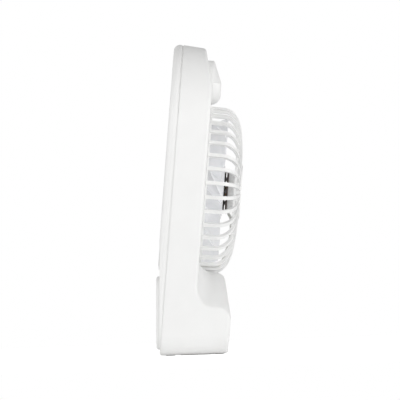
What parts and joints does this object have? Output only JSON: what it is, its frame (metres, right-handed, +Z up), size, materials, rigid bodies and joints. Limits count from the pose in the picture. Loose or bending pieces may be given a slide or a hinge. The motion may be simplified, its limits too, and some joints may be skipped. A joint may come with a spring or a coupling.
{
  "type": "desk fan",
  "caption": "Slim portable desk fan: leaning body, round ribbed rear cage, deep base and a rotary speed knob behind.",
  "frame": {"origin": "on the resting plane, on the middle line of the fan, inside the base's cover plate", "axes": "+X to the right seen from the front, -Y to the front (the side the air leaves), +Z up"},
  "size_m": [0.174, 0.0809, 0.2692],
  "materials": {
    "white_shell": "fine satin moulded ABS",
    "white_fascia": "satin moulded ABS",
    "white_grille": "satin moulded ABS ribs",
    "white_knob": "satin moulded ABS",
    "smoke_blade": "translucent grey polycarbonate",
    "dark_board": "dark brown circuit board",
    "green_board": "green circuit board",
    "dark_steel": "black oxide steel",
    "magnet": "bonded ferrite ring",
    "steel": "zinc-plated steel",
    "core_steel": "laminated electrical steel",
    "grey_metal": "pressed steel",
    "brass": "sintered bronze and brass",
    "copper": "enamelled copper wire",
    "rubber": "soft pale grey rubber",
    "cell_wrap": "shrink-wrapped cells",
    "black_plastic": "moulded nylon",
    "lens": "clear light pipe",
    "lead_jacket": "white PVC insulation"
  },
  "bodies": {
    "body": {"rear_housing": "white_shell", "front_cover": "white_shell", "lower_fascia": "white_fascia", "front_grille": "white_grille", "rear_cage": "white_grille", "base_cover": "white_shell", "motor_board": "dark_board", "bearing_front": "brass", "bearing_rear": "brass", "bearing_tube": "brass", "stator_core": "core_steel", "stator_coils": "copper", "motor_screws": "steel", "speed_control": "grey_metal", "control_nut": "steel", "control_bracket": "grey_metal", "cover_screws": "steel", "cage_screws": "steel", "bracket_screws": "steel", "base_screws": "steel", "board_screws": "steel", "rubber_feet": "rubber", "battery_cells": "cell_wrap", "battery_tray": "black_plastic", "battery_contacts": "steel", "main_board": "green_board", "charge_inlet": "steel", "indicator_lens": "lens", "motor_lead": "lead_jacket", "control_lead": "lead_jacket", "battery_leads": "lead_jacket"},
    "rotor": {"impeller": "smoke_blade", "impeller_cap": "white_knob", "rotor_yoke": "dark_steel", "rotor_magnet": "magnet", "motor_shaft": "steel", "shaft_clip": "steel"},
    "knob": {"speed_knob": "white_knob", "control_shaft": "steel"}
  },
  "joints": [
    {"name": "impeller_spin", "type": "hinge", "parent": "body", "child": "rotor", "pos_m": [0, 0.01673, 0.14253], "axis": [0, 0.994, -0.1097], "continuous": true},
    {"name": "knob_turn", "type": "hinge", "parent": "body", "child": "knob", "pos_m": [0, 0.01701, 0.23617], "axis": [0, 0.994, -0.1097], "range_deg": [0, 270]}
  ]
}
